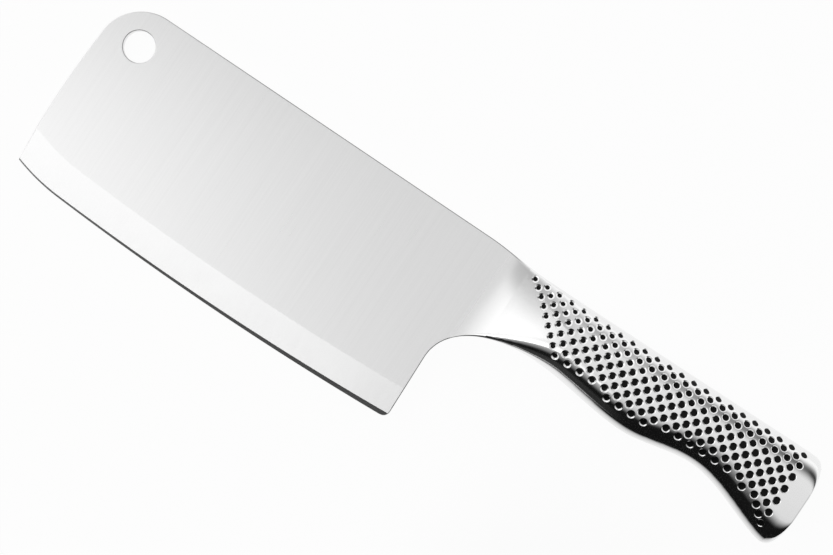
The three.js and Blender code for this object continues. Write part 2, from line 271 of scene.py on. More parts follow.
def gripFace(x, y, inset=0):
    s = section(x, inset)
    fall = np.maximum((y - s.top) / s.topCorner, (s.bottom - y) / s.bottomCorner) + 1
    return s.half - s.across * (1 - np.sqrt(1 - np.clip(fall, 0, 1) ** 2))


# side-view points lifted onto the left face
def onFace(flat):
    return raised(flat, gripFace(*flat.T))


def gripNormals(points, inset=0):
    # grows outwards through the skin, so its slopes lie along the normals
    def swell(x, y, z):
        s = section(x, inset)
        up = np.maximum(np.maximum((y - s.top) / s.topCorner, (s.bottom - y) / s.bottomCorner) + 1, 0)
        out = np.maximum((np.abs(z) - s.half) / s.across + 1, 0)
        return up**2 + out**2

    step = 0.002
    noSlope = 1e-12  # keeps a flat spot from dividing by nothing
    x, y, z = np.moveaxis(points, -1, 0)
    x = np.minimum(x, grip.overallLength - 2 * step)
    slopes = [
        swell(x + step, y, z) - swell(x - step, y, z),
        swell(x, y + step, z) - swell(x, y - step, z),
        swell(x, y, z + step) - swell(x, y, z - step),
    ]
    return unit(np.stack(slopes, -1) + noSlope)


# Triangles gathered with a normal at each corner, then welded into one mesh
class Skin:
    weldDecimals = 4  # of a millimetre: corners alike to these become one

    def __init__(self):
        self.points, self.normals = [], []

    def add(self, points, normals, triangles):
        self.addCorners(points[triangles], normals[triangles])

    def addCorners(self, points, normals):
        self.points.append(points)
        self.normals.append(normals)

    def grid(self, points, normals):
        index = np.arange(points.shape[0] * points.shape[1]).reshape(points.shape[:2])
        a, b, c, d = index[:-1, :-1], index[:-1, 1:], index[1:, 1:], index[1:, :-1]
        triangles = np.concatenate([np.stack(t, -1).reshape(-1, 3) for t in ((a, b, c), (a, c, d))])
        self.add(points.reshape(-1, 3), np.broadcast_to(normals, points.shape).reshape(-1, 3), triangles)

    # a straight wall from a rim to the plane between the two sides
    def wall(self, rim, normals):
        self.grid(np.stack([rim, rim * ontoMiddle], 1), np.repeat(normals[:, None], 2, 1))

    def mirrored(self):
        other = Skin()
        flip = np.array((1, 1, -1))
        other.points = [points * flip for points in self.points]
        other.normals = [normals * flip for normals in self.normals]
        return other

    def join(self, other):
        self.points += other.points
        self.normals += other.normals

    def build(self, name, material):
        points, normals = np.concatenate(self.points), np.concatenate(self.normals)
        facing = np.cross(points[:, 1] - points[:, 0], points[:, 2] - points[:, 0])
        wrong = (facing * normals.sum(1)).sum(1) < 0
        points[wrong], normals[wrong] = points[wrong][:, ::-1], normals[wrong][:, ::-1]
        rounded = np.round(points.reshape(-1, 3), self.weldDecimals)
        spots, index = np.unique(rounded, axis=0, return_inverse=True)
        corners = index.reshape(-1, 3)
        whole = (corners != np.roll(corners, 1, axis=1)).all(1)
        mesh = bpy.data.meshes.new(name)
        mesh.from_pydata((spots * millimetre).tolist(), [], corners[whole].tolist(), shade_flat=False)
        mesh.normals_split_custom_set(normals[whole].reshape(-1, 3).tolist())
        mesh.materials.append(material)
        piece = bpy.data.objects.new(name, mesh)
        piece.matrix_world = tableFrame
        bpy.context.scene.collection.objects.link(piece)
        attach(piece, "root")
        print(name, "built:", int(whole.sum()), "triangles")
        return piece


def triangulate(flat, edges):
    sameWithin = 1e-6
    made = delaunay_2d_cdt([Vector(p) for p in flat.tolist()], edges, [], 0, sameWithin)
    origin = np.array([source[0] for source in made[3]])
    return origin[np.array(made[2])]


def loopEdges(start, count):
    return [(start + i, start + (i + 1) % count) for i in range(count)]


def insideLoop(flat, loop):
    x, y = flat[:, None, 0], flat[:, None, 1]
    a, b = loop[None], np.roll(loop, -1, axis=0)[None]
    spans = (a[..., 1] > y) != (b[..., 1] > y)
    run = np.where(spans, b[..., 1] - a[..., 1], 1)
    crossing = a[..., 0] + (y - a[..., 1]) * (b[..., 0] - a[..., 0]) / run
    return (spans & (x < crossing)).sum(1) % 2 == 1


def gridPoints(xRange, yRange, pitch):
    return np.stack(np.meshgrid(np.arange(*xRange, pitch), np.arange(*yRange, pitch)), -1).reshape(-1, 2)


# Steel finishes, enamel and sand
def satinSteel():
    look = SimpleNamespace(**{
        "dark": 0.775,
        "light": 0.9,
        "streaks": (1300, 16, 1300),  # changes in a metre: the grain runs from spine to edge
        "hairs": (5200, 46, 5200),
        "hairShare": 0.4,
        "clouds": (38, 24, 38),
        "cloudShare": 0.15,
        "satin": 0.31,
        "satinGrain": 0.16,
        "satinClouds": 0.05,
        "polish": 0.075,
        "polishClouds": 0.03,
        "polishSoft": (0.162, 0.1685),  # metres along, where the polished neck takes over
        "polishWander": 0.004,
        "neckDark": 0.85,
        "neckLight": 0.915,
        "edges": 0.24,  # painted shade on the honed edge, the eased corners and the hole's rim, standing in for the dark these slanted faces reflect
        "edgesLeast": 0.7,  # what shows of that tone, and what the grain adds
        "edgesGrain": 0.5,
        "offWalls": (0.1, 0.25),  # where it fades out, by how far a face looks up
        "offFlats": (0.93, 0.985),
        "offFront": (-0.35, -0.1),  # by how far it looks back
        "offNeck": (0.163, 0.172),  # metres along
        "frontShare": 0.6,  # what shows of it at the front, and where it is in full
        "frontTo": 0.07,
        "bump": 0.16,
        "bumpHeight": 0.00003,
    })
    material, shader, place = newMaterial("satinSteel")
    along = shader.axis(place, "X")
    streaks = shader.noise(place, look.streaks, detail=3.0, rough=0.6)
    hairs = shader.noise(place, look.hairs, detail=2.0, rough=0.6)
    clouds = shader.noise(place, look.clouds)
    wander = (clouds - 0.5) * look.polishWander
    polish = shader.ease(along + wander, *look.polishSoft)
    grain = streaks * (1 - look.hairShare) + hairs * look.hairShare
    grain = grain * (1 - polish) + polish * 0.5
    satin = look.satin + (grain - 0.5) * look.satinGrain + (clouds - 0.5) * look.satinClouds
    polished = look.polish + (clouds - 0.5) * look.polishClouds
    mottle = grain * (1 - look.cloudShare) + clouds * look.cloudShare
    brushed = shader.tint(mottle, look.dark, look.light)
    neck = shader.tint(clouds, look.neckDark, look.neckLight)
    facing = shader.node("ShaderNodeTexCoord", {}, {}, "Normal")
    upward = shader.axis(facing, "Z")
    upward = upward.atLeast(0 - upward)
    slant = shader.ease(upward, *look.offWalls) * (1 - shader.ease(upward, *look.offFlats))
    slant = slant * shader.ease(shader.axis(facing, "X"), *look.offFront)
    edgeShadeStrength = (look.edgesLeast + grain * look.edgesGrain).atMost(1.0)
    byFront = look.frontShare + shader.ease(along, 0.0, look.frontTo) * (1 - look.frontShare)
    # painted shade: the edge tone is laid on faces by how they slant and face, not on the neck and weaker at
    # the front; the steel's grain shows through it
    paintedEdgeShade = slant * edgeShadeStrength * (1 - shader.ease(along, *look.offNeck)) * byFront
    shader.surface({
        "Base Color": shader.tint(paintedEdgeShade, shader.tint(polish, brushed, neck), look.edges),
        "Metallic": 1.0,
        "Roughness": satin * (1 - polish) + polished * polish,
        "Normal": shader.bump(grain, look.bump, look.bumpHeight),
    })
    return material


# fine marks and broad clouds between two tones
def markedSurface(name, sizes):
    look = SimpleNamespace(**sizes)
    material, shader, place = newMaterial(name)
    marks = shader.noise(place, look.marks, detail=3.0, rough=0.6)
    clouds = shader.noise(place, look.clouds, detail=look.cloudDetail)
    rough = look.rough + (marks - 0.5) * look.markSpread + (clouds - 0.5) * look.cloudSpread
    shader.surface({
        "Base Color": shader.tint(marks * 0.5 + clouds * 0.5, look.dark, look.light),
        "Metallic": look.metal,
        "Roughness": rough,
        "Specular IOR Level": look.shine,
        "Normal": shader.bump(marks, look.bump, look.bumpHeight),
    })
    return material


def drySand():
    look = SimpleNamespace(**{
        "shade": (0.36, 0.27, 0.16),
        "grain": (0.72, 0.6, 0.42),
        "size": 2200,
        "mix": (900, 900, 900),
        "rough": 0.86,
        "spread": 0.12,
        "bump": 0.6,
        "bumpHeight": 0.0002,
    })
    material, shader, place = newMaterial("drySand")
    grains = shader.node("ShaderNodeTexVoronoi", {}, {"Vector": place, "Scale": look.size})
    mix = shader.noise(place, look.mix, detail=3.0)
    shader.surface({
        "Base Color": shader.tint(mix, look.shade, look.grain),
        "Roughness": look.rough + mix * look.spread,
        "Normal": shader.bump(1 - grains, look.bump, look.bumpHeight),
    })
    return material


bladeSteel = satinSteel()
steelLook = {
    "clouds": (60, 60, 60),
    "cloudDetail": 3.0,
    "cloudSpread": 0.04,
    "metal": 1.0,
    "shine": 0.5,
    "rough": 0.1,
    "bumpHeight": 0.00001,
}
gripSteel = markedSurface("polishedSteel", {
    **steelLook,
    "dark": 0.85,
    "light": 0.915,
    "marks": (14, 900, 900),
    "markSpread": 0.04,
    "bump": 0.02,
})
weldSteel = markedSurface("dressedWeld", {
    **steelLook,
    "dark": 0.84,
    "light": 0.91,
    "marks": (90, 500, 500),
    "markSpread": 0.06,
    "bump": 0.06,
})
enamel = markedSurface("blackEnamel", {
    "dark": 0.002,
    "light": 0.008,
    "marks": (2400, 2400, 2400),
    "markSpread": 0.0,
    "clouds": (180, 180, 180),
    "cloudDetail": 2.0,
    "cloudSpread": 0.2,
    "metal": 0.0,
    "shine": 0.1,
    "rough": 0.3,
    "bump": 0.15,
    "bumpHeight": 0.00002,
})
print("materials made")


# Blade: a flat plate eased along its outline, a hanging hole, a ground bevel and a honed edge
plate = SimpleNamespace(**{
    "length": 160,
    "height": 75.8,
    "frontRadius": 340,
    "frontBulgeDepth": 40,
    "frontCornerRadius": 16.8,
    "edgeRadius": 1180,
    "edgeLowestX": 89,
    "tipRadius": 75,
    "tipLength": 20,
    "heelCornerRadius": 3,
    "holeRadius": 5.75,
    "holeX": 14.7,
    "holeDepth": 13.5,
    "bevelWidth": 12.2,
    "honeAtHeel": 1.75,
    "honeAtFront": 0.5,
    "honeSlope": math.tan(math.radians(20)),
    "edgeHalf": 0.05,
    "easedShare": 0.45,  # most of the thickness that easing takes
    "closerFromX": 150,  # the spine's points lie closer from here on
    "neckEnd": 173,  # where the weld round the neck begins
})
# how many points lie along each stretch
steps = SimpleNamespace(**{
    "front": 60, "frontCorner": 30, "spine": 45, "spineByNeck": 40, "choil": 60, "heel": 18, "heelBend": 14,
    "easing": 7, "edge": 90, "tip": 24, "neck": 26, "hole": 72, "holeEasing": 6,
})
faceMesh = SimpleNamespace(**{
    "rows": (0, 0.3, 0.65, 1),  # shares of the way from the hone line to the top of the bevel
    "rowClear": 0.3,  # least way from a row to the eased edge
    "rowBreak": 6,  # a row is not joined across a gap this wide
    "plate": ((2, 158), (-62, -1), 4.0),  # points between: reach along x and y, and pitch
    "neck": ((156, plate.neckEnd), (-47, -1), 1.2),
    "clear": 0.7,  # least way from these to the border
    "clearOfShapes": 1.5,  # and to the bevel and the hole
    "rimShare": 0.9,  # of the rim's easing: nearer triangles lie over the hole
})
edgeCentre = np.array((plate.edgeLowestX, plate.edgeRadius - plate.height))
holeCentre = np.array((plate.holeX, -plate.holeDepth))
holeTurn = np.linspace(0, 2 * np.pi, steps.hole, endpoint=False)
holeWay = pair(np.cos(holeTurn), np.sin(holeTurn))


def edgeY(x):
    return edgeCentre[1] - np.sqrt(plate.edgeRadius**2 - (x - edgeCentre[0]) ** 2)


tipStart = np.array((plate.tipLength, edgeY(plate.tipLength)))
tipCentre = tipStart + (edgeCentre - tipStart) * plate.tipRadius / plate.edgeRadius


def frontX(y):
    return plate.frontRadius - np.sqrt(plate.frontRadius**2 - (y + plate.frontBulgeDepth) ** 2)


def tipY(x):
    return tipCentre[1] - np.sqrt(plate.tipRadius**2 - (x - tipCentre[0]) ** 2)


# where the front meets the tip's arc, closed in on from one to the other
def findTip():
    y = tipStart[1]
    for _ in range(12):
        y = tipY(frontX(y))
    return np.array((frontX(y), y))


tip = findTip()


# how far a side-view point lies in from the cutting edge, and which way in is
def fromEdge(flat):
    across = edgeCentre - tipStart
    lean = across[0] * (flat[..., 1] - tipStart[1]) - across[1] * (flat[..., 0] - tipStart[0])
    onTip = (lean > 0)[..., None]
    centre = np.where(onTip, tipCentre, edgeCentre)
    radius = np.where(onTip, plate.tipRadius, plate.edgeRadius)[..., 0]
    away = lengths(centre - flat)
    return radius - away, (centre - flat) / away[..., None]


def honeWidth(x):
    return plate.honeAtFront + (plate.honeAtHeel - plate.honeAtFront) * np.clip(x / plate.length, 0, 1)


def bevelSlope(x):
    hone = honeWidth(x)
    return (grip.plateHalf - plate.edgeHalf - hone * plate.honeSlope) / (plate.bevelWidth - hone)


def bladeFace(flat):
    x, y = flat[..., 0], flat[..., 1]
    inward = np.maximum(fromEdge(flat)[0], 0)
    hone = honeWidth(x)
    honed = plate.edgeHalf + np.minimum(inward, hone) * plate.honeSlope
    ground = honed + np.maximum(inward - hone, 0) * bevelSlope(x)
    face = np.where(x > grip.neckStart, gripFace(np.maximum(x, grip.neckStart), y), grip.plateHalf)
    return np.minimum(face, ground)


def tiltedNormals(flat, slope):
    inward = fromEdge(flat)[1]
    return unit(raised(-inward * slope[..., None], np.ones_like(slope)))


# outline behind the edge, from the neck down to the heel: points and the way in
def heelOutline():
    choil = grip.heelX + (plate.neckEnd - grip.heelX) * np.linspace(1, 0, steps.choil) ** 2
    choilPoints = pair(choil, bellyLine(choil))
    bendX = plate.length - plate.heelCornerRadius
    heelEdge = np.array((bendX, edgeY(bendX)))
    heelTop = np.array((plate.length, heelEdge[1] + plate.heelCornerRadius))
    heelKnee = np.array((plate.length, edgeY(plate.length)))
    down = np.linspace(0, 1, steps.heel)[1:, None]
    heelLine = choilPoints[-1] + (heelTop - choilPoints[-1]) * down
    bend = np.linspace(0, 1, steps.heelBend)[1:, None]
    heelBend = heelTop * (1 - bend) ** 2 + heelKnee * 2 * bend * (1 - bend) + heelEdge * bend**2
    points = np.concatenate([choilPoints, heelLine, heelBend])
    along = np.gradient(points, axis=0)
    ways = unit(pair(along[:, 1], -along[:, 0]))
    ways[points[:, 0] >= grip.neckStart] = (0, 1)
    return points, ways


# outline without the cutting edge, from the tip over the spine to the heel: points, the way in
# and how many points come before the neck's end
def bladeOutline():
    front = np.linspace(tip[1], -plate.frontCornerRadius, steps.front)
    frontPoints = pair(frontX(front), front)
    frontWay = unit(np.array((plate.frontRadius, -plate.frontBulgeDepth)) - frontPoints)
    cornerX = frontX(-plate.frontCornerRadius) + plate.frontCornerRadius
    turn = np.linspace(np.pi, np.pi / 2, steps.frontCorner)[1:]
    cornerWay = -pair(np.cos(turn), np.sin(turn))
    cornerPoints = np.array((cornerX, -plate.frontCornerRadius)) - cornerWay * plate.frontCornerRadius
    spine = np.concatenate([
        np.linspace(cornerX, plate.closerFromX, steps.spine)[1:],
        np.linspace(plate.closerFromX, plate.neckEnd, steps.spineByNeck)[1:],
    ])
    spinePoints = pair(spine, spineLine(spine))
    spineWay = np.broadcast_to((0.0, -1.0), spinePoints.shape)
    heelPoints, heelWay = heelOutline()
    points = np.concatenate([frontPoints, cornerPoints, spinePoints, heelPoints])
    ways = np.concatenate([frontWay, cornerWay, spineWay, heelWay])
    return points, ways, len(points) - len(heelPoints)


def easedEdge(points, ways, split):
    s = section(np.maximum(points[:, 0], grip.neckStart))
    order = np.arange(len(points))
    onNeck = points[:, 0] >= grip.neckStart
    corner = np.where(order < split, s.topCorner, s.bottomCorner)
    most = plate.easedShare * (bladeFace(points + ways * grip.easing) - plate.edgeHalf)
    ends = (order == 0) | (order == len(points) - 1)
    deep = np.where(onNeck, corner, np.where(ends, 0, np.minimum(grip.easing, most)))
    across = np.where(onNeck, s.across, deep)
    turn = np.linspace(0, np.pi / 2, steps.easing)
    flat = points[:, None] + ways[:, None] * (deep[:, None] * (1 - np.cos(turn)))[..., None]
    face = np.where(onNeck, s.half, bladeFace(flat[:, -1]))
    z = face[:, None] - across[:, None] * (1 - np.sin(turn))
    loops = raised(flat, z)
    outward = -ways[:, None] * np.cos(turn)[:, None]
    normals = unit(raised(outward, np.broadcast_to(np.sin(turn), z.shape)))
    normals[onNeck] = gripNormals(loops[onNeck])
    return loops, normals


# cutting edge from the heel to the tip: points and the way in
def cuttingEdge(heel):
    edgeX = np.linspace(heel[0], tipStart[0], steps.edge)
    tipX = np.linspace(tipStart[0], tip[0], steps.tip)[1:]
    edge = np.concatenate([pair(edgeX, edgeY(edgeX)), pair(tipX, tipY(tipX))])
    return edge, fromEdge(edge)[1]


# points across the end that meets the weld round the neck
def neckRow(loops, split):
    return np.linspace(loops[split - 1, -1, :2], loops[split, -1, :2], steps.neck)[1:-1]


# triangles of the face inside the eased edge, with rows of points along the hone and bevel lines
def faceCorners(loops, split, edge, edgeIn):
    inner, neck = loops[:, -1, :2], neckRow(loops, split)
    border = np.concatenate([inner[:split], neck, inner[split:], edge[1:-1]])
    rows = []
    for share in faceMesh.rows:
        row = edge + edgeIn * (honeWidth(edge[:, :1]) * (1 - share) + plate.bevelWidth * share)
        clear = np.min(lengths(row[:, None] - inner[None]), 1) > faceMesh.rowClear
        rows.append(row[insideLoop(row, border) & clear])
    filler = np.concatenate([gridPoints(*faceMesh.plate), gridPoints(*faceMesh.neck)])
    clear = np.min(lengths(filler[:, None] - border[None]), 1) > faceMesh.clear
    onPlate = fromEdge(filler)[0] > plate.bevelWidth + faceMesh.clearOfShapes
    offHole = lengths(filler - holeCentre) > plate.holeRadius + faceMesh.clearOfShapes
    filler = filler[insideLoop(filler, border) & clear & onPlate & offHole]
    holeRim = holeCentre + holeWay * (plate.holeRadius + grip.easing)
    flat = np.concatenate([border, holeRim, *rows, filler])
    edges = loopEdges(0, len(border)) + loopEdges(len(border), len(holeRim))
    start = len(border) + len(holeRim)
    for row in rows:
        near = lengths(np.diff(row, axis=0)) < faceMesh.rowBreak
        edges += [(start + i, start + i + 1) for i in np.flatnonzero(near)]
        start += len(row)
    triangles = triangulate(flat, edges)
    centre = flat[triangles].mean(1)
    offHole = lengths(centre - holeCentre) > plate.holeRadius + faceMesh.rimShare * grip.easing
    triangles = triangles[insideLoop(centre, border) & offHole]
    height = bladeFace(flat)
    height[:split] = loops[:split, -1, 2]
    height[split + len(neck) : len(inner) + len(neck)] = loops[split:, -1, 2]
    return raised(flat, height)[triangles]


def faceNormals(corners, centre):
    inward = fromEdge(centre[:, :2])[0]
    hone = honeWidth(centre[:, 0])
    flat = corners[..., :2]
    normals = np.zeros_like(corners)
    normals[..., 2] = 1
    onHone, onBevel = inward < hone, (inward >= hone) & (inward < plate.bevelWidth)
    onNeck = (corners[..., 0] > grip.neckStart) & ~(onBevel | onHone)[:, None]
    normals[onHone] = tiltedNormals(flat[onHone], np.full(flat[onHone].shape[:2], plate.honeSlope))
    normals[onBevel] = tiltedNormals(flat[onBevel], bevelSlope(flat[onBevel][..., 0]))
    normals[onNeck] = gripNormals(corners[onNeck])
    return normals


# hanging hole: an eased rim and a straight wall
def addHole(skin):
    turn = np.linspace(0, np.pi / 2, steps.holeEasing)
    ring = np.concatenate([holeWay, holeWay[:1]])
    radii = plate.holeRadius + grip.easing * (1 - np.cos(turn))
    rim = holeCentre + ring[:, None] * radii[None, :, None]
    z = np.broadcast_to(grip.plateHalf - grip.easing * (1 - np.sin(turn)), rim.shape[:2])
    points = raised(rim, z)
    inward = -ring[:, None] * np.cos(turn)[None, :, None]
    normals = raised(inward, np.broadcast_to(np.sin(turn), z.shape))
    skin.grid(points, normals)
    skin.wall(points[:, 0], normals[:, 0])


def addNeckEnd(skin, loops, split):
    upper, lower = loops[split - 1], loops[split]
    between = onFace(neckRow(loops, split))
    side = np.concatenate([upper[:1] * ontoMiddle, upper, between, lower[::-1], lower[:1] * ontoMiddle])
    hub = np.broadcast_to(side.mean(0) * ontoMiddle, side.shape)
    skin.grid(np.stack([side, hub], 1), np.array((1.0, 0, 0)))


def bladeSkin():
    outline, ways, split = bladeOutline()
    loops, normals = easedEdge(outline, ways, split)
    skin = Skin()
    for part in (slice(0, split), slice(split, None)):
        skin.grid(loops[part], normals[part])
        skin.wall(loops[part][:, 0], normals[part][:, 0])
    edge, edgeIn = cuttingEdge(outline[-1])
    lip = raised(edge, np.full(len(edge), plate.edgeHalf))
    skin.wall(lip, raised(-edgeIn, np.zeros(len(edge))))
    corners = faceCorners(loops, split, edge, edgeIn)
    skin.addCorners(corners, faceNormals(corners, corners.mean(1)))
    addHole(skin)
    addNeckEnd(skin, loops, split)
    skin.join(skin.mirrored())
    return skin


blade = bladeSkin().build("bladeBlank", bladeSteel)
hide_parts("blade")


# Handle halves: pressed shells with dimples sunk into a smooth face
weld = SimpleNamespace(**{
    "half": 1.0,
    "depth": 0.6,
    "rootHalf": 0.15,
    "buttFrom": 289.5,
    "stationGap": 0.2,  # least, before the end of a seam's bead
    "across": 9,  # points across a bead, and lines along the one round the neck and over the butt
    "along": 7,
    "overButt": 8,
    "ontoButt": 4,
})
dimple = SimpleNamespace(**{
    "lipPlaces": (182, 215),  # along the handle
    "lipRadii": (1.42, 1.6),
    "depth": 0.6,
    "roundness": 1.3,
    "rings": ((1.0, 24), (0.965, 24), (0.915, 24), (0.85, 24), (0.77, 24), (0.5, 12)),  # share of lip, sides
    "pitch": 5.12,
    "rowPitch": 2.48,
    "rows": 13,
    "fullRows": 9,
    "firstX": 176.6,
    "lastX": 288.9,
    "spineMargin": 2.12,
    "bellyMargin": 5.85,
    "buttMargin": 4.4,
    "marginEase": 14.3,
    "deepest": 34,  # rows are measured out to here
})
shell = SimpleNamespace(**{
    "faceEnd": 292,  # the dimpled face stops here and the rounded butt begins
    "bodyRibs": 118,
    "buttRibs": 40,
    "buttReach": 0.9998,  # share of its length
    "ribPoints": 24,
    "shoulderSteps": 5,
    "spineStrip": 0.19,  # share of the rounding beside a seam
    "bellyStrip": 0.25,
    "fillPitch": 1.25,
    "fillDepth": 36,
    "fillStart": 0.6,  # what the points between dimples keep clear
    "fillSide": 0.45,
    "fillEnd": 0.5,
    "fillLip": 0.3,
})


def dimpleCentres():
    depths = np.arange(dimple.spineMargin, dimple.deepest, 0.01)
    heights = gripFace(capStart, section(capStart).top - depths)
    walked = np.concatenate([[0], np.cumsum(np.hypot(np.diff(depths), np.diff(heights)))])
    rowDepths = np.interp(np.arange(dimple.rows) * dimple.rowPitch, walked, depths)
    centres = []
    for row, depth in enumerate(rowDepths):
        firstX = dimple.firstX + row * dimple.pitch / 2 - dimple.pitch / 4
        x = np.arange(dimple.lastX - row % 2 * dimple.pitch / 2, firstX, -dimple.pitch)
        y = spineLine(x) - depth
        nearButt = smooth(x, dimple.lastX - dimple.marginEase, dimple.lastX)
        margin = dimple.bellyMargin + (dimple.buttMargin - dimple.bellyMargin) * nearButt
        kept = (row < dimple.fullRows) | (y - bellyLine(x) > margin)
        centres.append(pair(x, y)[kept])
    return np.concatenate(centres)


# the middle of every dimple on the smooth face, the face's normal there and two ways across it
def dimpleFrames():
    points = onFace(dimpleCentres())
    normals = gripNormals(points)
    along = unit(np.array((1.0, 0, 0)) - normals * normals[:, :1])
    return points, normals, along, np.cross(normals, along)


# a ring round every dimple, laid on the smooth face: points, face normals and the way out from the middle
def dimpleRing(frames, radius, sides):
    points, normals, along, up = (a[:, None] for a in frames)
    turn = np.linspace(0, 2 * np.pi, sides, endpoint=False)[:, None]
    away = along * np.cos(turn) + up * np.sin(turn)
    ring = points + away * radius
    for _ in range(4):  # settles onto the face
        gap = (ring[..., 2] - gripFace(ring[..., 0], ring[..., 1])) * normals[..., 2]
        ring = ring - normals * gap[..., None]
    face = gripNormals(ring)
    away = unit(away - face * (away * face).sum(-1, keepdims=True))
    return ring, face, away


def lipRadii(frames):
    return np.interp(frames[0][:, 0], dimple.lipPlaces, dimple.lipRadii)[:, None, None]


def sunk(radius, lip):
    rest = np.maximum(1 - (radius / lip) ** 2, 0)
    depth = dimple.depth * rest**dimple.roundness
    slope = 2 * radius / lip**2 * dimple.depth * dimple.roundness * rest ** (dimple.roundness - 1)
    return depth, slope


# cross-sections from the weld's edge round to where the dimpled face starts
def shoulder(x, upper, inset=0, edge=weld.half):
    s = section(x, inset)
    corner = s.topCorner if upper else s.bottomCorner
    share = shell.spineStrip if upper else shell.bellyStrip
    land = s.half - s.across
    first = np.arcsin(np.clip((edge - land) / s.across, 0, 1))
    last = first + share * (np.pi / 2 - first)
    turn = first[:, None] + (last - first)[:, None] * np.linspace(0, 1, shell.shoulderSteps + 1)
    drop = corner[:, None] * (1 - np.cos(turn))
    y = s.top[:, None] - drop if upper else s.bottom[:, None] + drop
    z = land[:, None] + s.across[:, None] * np.sin(turn)
    z[:, 0] = edge
    return np.stack([np.broadcast_to(x[:, None], y.shape), y, z], -1)


# whole cross-sections of one half, from the spine's weld to the belly's
def rib(x, inset=0, edge=weld.half):
    upper = shoulder(x, True, inset, edge)
    lower = shoulder(x, False, inset, edge)[:, ::-1]
    share = np.linspace(0, 1, shell.ribPoints + 2)[1:-1]
    y = upper[:, -1:, 1] + (lower[:, :1, 1] - upper[:, -1:, 1]) * share
    across = np.broadcast_to(x[:, None], y.shape)
    return np.concatenate([upper, np.stack([across, y, gripFace(across, y, inset)], -1), lower], 1)


# places along the butt that lie evenly over its rounding
def buttStations():
    first, last = (shell.faceEnd - capStart) / grip.buttLength, shell.buttReach
    reach = last - (last - first) * np.linspace(1, 0, 4000) ** 3  # closest by the end face
    s = section(capStart + grip.buttLength * reach)
    moves = np.diff([grip.buttLength * reach, s.top, s.half])
    walked = np.concatenate([[0], np.cumsum(np.linalg.norm(moves, axis=0))])
    return capStart + grip.buttLength * np.interp(np.linspace(0, walked[-1], shell.buttRibs), walked, reach)


bodyX = np.linspace(grip.neckJoint + weld.half, shell.faceEnd, shell.bodyRibs)
buttX = buttStations()
shellX = np.concatenate([bodyX, buttX[1:]])


# points on the smooth face between the dimples
def betweenDimples(middles, lips, top, bottom):
    reach = (bodyX[0] + shell.fillStart, shell.faceEnd)
    filler = gridPoints(reach, (-shell.fillDepth, 0), shell.fillPitch)
    x, y = filler.T
    roof = np.interp(x, bodyX, top[:, 1]) - shell.fillSide
    ground = np.interp(x, bodyX, bottom[:, 1]) + shell.fillSide
    points = onFace(filler[(y < roof) & (y > ground) & (x < shell.faceEnd - shell.fillEnd)])
    away = lengths(points[:, None] - middles[None]) - lips[:, 0, 0]
    return points[away.min(1) > shell.fillLip]


def addDimpledFace(skin, frames, upper, lower):
    middles, upward = frames[:2]
    top, bottom = upper[:, -1, :2], lower[:, -1, :2]
    ends = rib(bodyX[[0, -1]])[:, upper.shape[1] : -lower.shape[1], :2]
    border = np.concatenate([top, ends[1], bottom[::-1], ends[0][::-1]])
    flats, points = [border], [onFace(border)]
    normals = [gripNormals(points[0])]
    lips = lipRadii(frames)
    for share, sides in dimple.rings:
        ring, face, away = dimpleRing(frames, share * lips, sides)
        depth, slope = sunk(share * lips, lips)
        flats.append(ring[..., :2].reshape(-1, 2))
        points.append((ring - face * depth).reshape(-1, 3))
        normals.append(unit(face - away * slope).reshape(-1, 3))
    filler = betweenDimples(middles, lips, top, bottom)
    flat = np.concatenate([*flats, middles[:, :2], filler[:, :2]])
    points = np.concatenate([*points, middles - upward * dimple.depth, filler])
    normals = np.concatenate([*normals, upward, gripNormals(filler)])
    triangles = triangulate(flat, loopEdges(0, len(border)))
    skin.add(points, normals, triangles[insideLoop(flat[triangles].mean(1), border)])


# inside of the pressing and its rims
def addInside(skin):
    shorter = 1 - grip.shellWall / grip.buttLength
    innerX = np.where(shellX > capStart, capStart + (shellX - capStart) * shorter, shellX)
    inside, outside = rib(innerX, grip.shellWall, weld.rootHalf), rib(shellX)
    skin.grid(inside, -gripNormals(inside, grip.shellWall))
    half = outside.shape[1] // 2
    for end, facing in ((outside[-1], 1.0), (inside[-1], -1.0)):
        skin.grid(np.stack([end[:half], end[::-1][:half]]), np.array((facing, 0, 0)))
    towardsMiddle = np.array((0, 0, -1.0))
    skin.grid(np.stack([outside[:, 0], inside[:, 0]]), towardsMiddle)
    skin.grid(np.stack([outside[:, -1], inside[:, -1]]), towardsMiddle)
    skin.grid(np.stack([outside[-1][[0, -1]], inside[-1][[0, -1]]]), towardsMiddle)
    skin.grid(np.stack([outside[0], inside[0]]), np.array((-1.0, 0, 0)))


def handleSkin(frames):
    skin = Skin()
    upper, lower = shoulder(bodyX, True), shoulder(bodyX, False)
    for strip in (upper, lower, rib(buttX)):
        skin.grid(strip, gripNormals(strip))
    addDimpledFace(skin, frames, upper, lower)
    addInside(skin)
    return skin


# Enamel: one shallow dished fill in each dimple
pool = SimpleNamespace(**{
    "places": (190, 230, 275),  # along the handle
    # wider towards the butt, where the black fill also covers the dimples' shaded walls: partly real enamel,
    # partly painted shade
    "radii": (0.89, 1.17, 1.29),
    "dish": 0.13,
    "rings": (1.0, 0.8, 0.5),
    "sides": 20,
    "under": 0.05,  # below the dimple's bottom
})


